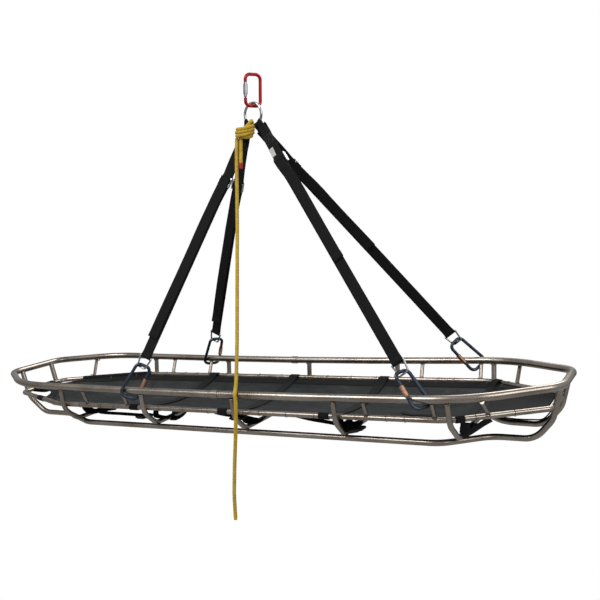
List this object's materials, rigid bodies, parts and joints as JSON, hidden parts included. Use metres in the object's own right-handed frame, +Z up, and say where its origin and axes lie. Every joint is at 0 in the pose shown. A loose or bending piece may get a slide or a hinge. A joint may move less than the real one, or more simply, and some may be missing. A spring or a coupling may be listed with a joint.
{
  "type": "basket rescue stretcher with lifting bridle",
  "caption": "Tubular steel basket litter with a mesh bed, hung by a webbing bridle, screw-gate carabiners and a ring, with a tag line.",
  "frame": {"origin": "lifting point: inside of the lifting carabiner's top bow", "axes": "+Z up along the pull, +X along the litter towards its head end, +Y across it; the litter hangs a few degrees head-up"},
  "size_m": [2.1264, 0.6347, 1.4454],
  "materials": {
    "frame_tube": "satin, brushed, slightly bronze",
    "sling_webbing": "woven webbing",
    "strap_webbing": "woven webbing",
    "buckle_plastic": "moulded",
    "bed_mesh": "open woven mesh",
    "rope": "braided kernmantle sheath",
    "red_tape": "adhesive tape",
    "red_anodised": "anodised",
    "bright_steel": "polished",
    "sleeve_metal": "anodised, knurled",
    "dark_steel": "dark satin"
  },
  "bodies": {
    "lifting_carabiner": {"lift_carabiner_body": "red_anodised"},
    "lifting_gate": {"lift_carabiner_gate": "bright_steel"},
    "lifting_sleeve": {"lift_carabiner_sleeve": "bright_steel"},
    "ring": {"lift_ring": "bright_steel"},
    "litter": {"webbing_leg_1": "sling_webbing", "webbing_leg_2": "sling_webbing", "webbing_leg_3": "sling_webbing", "webbing_leg_4": "sling_webbing", "adjuster_frame_1": "bright_steel", "adjuster_frame_2": "bright_steel", "adjuster_frame_3": "bright_steel", "adjuster_frame_4": "bright_steel", "wire_link_1": "bright_steel", "wire_link_2": "bright_steel", "wire_link_3": "bright_steel", "wire_link_4": "bright_steel", "rail_carabiner_body_1": "dark_steel", "rail_carabiner_body_2": "dark_steel", "rail_carabiner_body_3": "dark_steel", "rail_carabiner_body_4": "dark_steel", "top_rail_near": "frame_tube", "top_rail_far": "frame_tube", "top_rail_head": "frame_tube", "top_rail_foot": "frame_tube", "rail_collars": "frame_tube", "mid_rail_near": "frame_tube", "mid_rail_far": "frame_tube", "mid_rail_head": "frame_tube", "mid_rail_foot": "frame_tube", "runner_near": "frame_tube", "runner_far": "frame_tube", "rib_1": "frame_tube", "rib_2": "frame_tube", "rib_3": "frame_tube", "rib_4": "frame_tube", "rib_5": "frame_tube", "posts_near": "frame_tube", "posts_far": "frame_tube", "mesh_bed": "bed_mesh", "restraint_straps": "strap_webbing", "strap_buckles": "buckle_plastic", "tag_line_knot": "rope", "tag_line": "rope", "knot_tail": "rope", "tail_tape": "red_tape"},
    "rail_gate_1": {"rail_carabiner_gate_1": "dark_steel"},
    "rail_sleeve_1": {"rail_carabiner_sleeve_1": "sleeve_metal"},
    "cam_1": {"adjuster_cam_1": "bright_steel"},
    "rail_gate_2": {"rail_carabiner_gate_2": "dark_steel"},
    "rail_sleeve_2": {"rail_carabiner_sleeve_2": "sleeve_metal"},
    "cam_2": {"adjuster_cam_2": "bright_steel"},
    "rail_gate_3": {"rail_carabiner_gate_3": "dark_steel"},
    "rail_sleeve_3": {"rail_carabiner_sleeve_3": "sleeve_metal"},
    "cam_3": {"adjuster_cam_3": "bright_steel"},
    "rail_gate_4": {"rail_carabiner_gate_4": "dark_steel"},
    "rail_sleeve_4": {"rail_carabiner_sleeve_4": "sleeve_metal"},
    "cam_4": {"adjuster_cam_4": "bright_steel"}
  },
  "joints": [
    {"name": "lifting_gate_hinge", "type": "hinge", "parent": "lifting_carabiner", "child": "lifting_gate", "pos_m": [-0.01662, -0.02128, -0.0666], "axis": [-0.788, 0.6157, 0], "range_deg": [0, 20], "stiffness_Nm_per_rad": 0.02, "springref_deg": -5.73},
    {"name": "lifting_sleeve_travel", "type": "slide", "parent": "lifting_gate", "child": "lifting_sleeve", "axis": [0, 0, 1], "range_m": [0, 0.012]},
    {"name": "ring_swing", "type": "hinge", "parent": "lifting_carabiner", "child": "ring", "pos_m": [0, 0, -0.0985], "axis": [0.6157, 0.788, 0], "range_deg": [-15, 15]},
    {"name": "sling_swing", "type": "hinge", "parent": "ring", "child": "litter", "pos_m": [0, 0, -0.1266], "axis": [-0.2504, -0.9681, 0], "range_deg": [-12, 12]},
    {"name": "rail_gate_1_hinge", "type": "hinge", "parent": "litter", "child": "rail_gate_1", "pos_m": [-0.30009, -0.26326, -1.05836], "axis": [0.635, -0.772, 0.0272], "range_deg": [0, 20], "stiffness_Nm_per_rad": 0.02, "springref_deg": -5.73},
    {"name": "rail_sleeve_1_travel", "type": "slide", "parent": "rail_gate_1", "child": "rail_sleeve_1", "axis": [0.3152, 0.291, 0.9033], "range_m": [0, 0.012]},
    {"name": "cam_1_lever", "type": "hinge", "parent": "litter", "child": "cam_1", "pos_m": [-0.07888, -0.05634, -0.34838], "axis": [0.9442, 0, -0.3294], "range_deg": [0, 60], "stiffness_Nm_per_rad": 0.05, "springref_deg": -5.73},
    {"name": "rail_gate_2_hinge", "type": "hinge", "parent": "litter", "child": "rail_gate_2", "pos_m": [-0.33792, 0.3041, -1.04846], "axis": [0.6667, -0.6073, -0.4321], "range_deg": [0, 20], "stiffness_Nm_per_rad": 0.02, "springref_deg": -5.73},
    {"name": "rail_sleeve_2_travel", "type": "slide", "parent": "rail_gate_2", "child": "rail_sleeve_2", "axis": [0.3332, -0.2757, 0.9017], "range_m": [0, 0.012]},
    {"name": "cam_2_lever", "type": "hinge", "parent": "litter", "child": "cam_2", "pos_m": [-0.10632, 0.07223, -0.36515], "axis": [0.938, 0, -0.3466], "range_deg": [0, 60], "stiffness_Nm_per_rad": 0.05, "springref_deg": -5.73},
    {"name": "rail_gate_3_hinge", "type": "hinge", "parent": "litter", "child": "rail_gate_3", "pos_m": [0.673, -0.30723, -0.95894], "axis": [-0.5858, 0.4852, -0.6492], "range_deg": [0, 20], "stiffness_Nm_per_rad": 0.02, "springref_deg": -5.73},
    {"name": "rail_sleeve_3_travel", "type": "slide", "parent": "rail_gate_3", "child": "rail_sleeve_3", "axis": [-0.6154, 0.255, 0.7459], "range_m": [0, 0.012]},
    {"name": "cam_3_lever", "type": "hinge", "parent": "litter", "child": "cam_3", "pos_m": [0.13293, -0.05076, -0.2799], "axis": [0.7714, 0, 0.6364], "range_deg": [0, 60], "stiffness_Nm_per_rad": 0.05, "springref_deg": -5.73},
    {"name": "rail_gate_4_hinge", "type": "hinge", "parent": "litter", "child": "rail_gate_4", "pos_m": [0.68597, 0.26398, -0.97337], "axis": [-0.5751, 0.789, -0.2162], "range_deg": [0, 20], "stiffness_Nm_per_rad": 0.02, "springref_deg": -5.73},
    {"name": "rail_sleeve_4_travel", "type": "slide", "parent": "rail_gate_4", "child": "rail_sleeve_4", "axis": [-0.6334, -0.2622, 0.7281], "range_m": [0, 0.012]},
    {"name": "cam_4_lever", "type": "hinge", "parent": "litter", "child": "cam_4", "pos_m": [0.13177, 0.04516, -0.29772], "axis": [0.7545, 0, 0.6564], "range_deg": [0, 60], "stiffness_Nm_per_rad": 0.05, "springref_deg": -5.73}
  ]
}
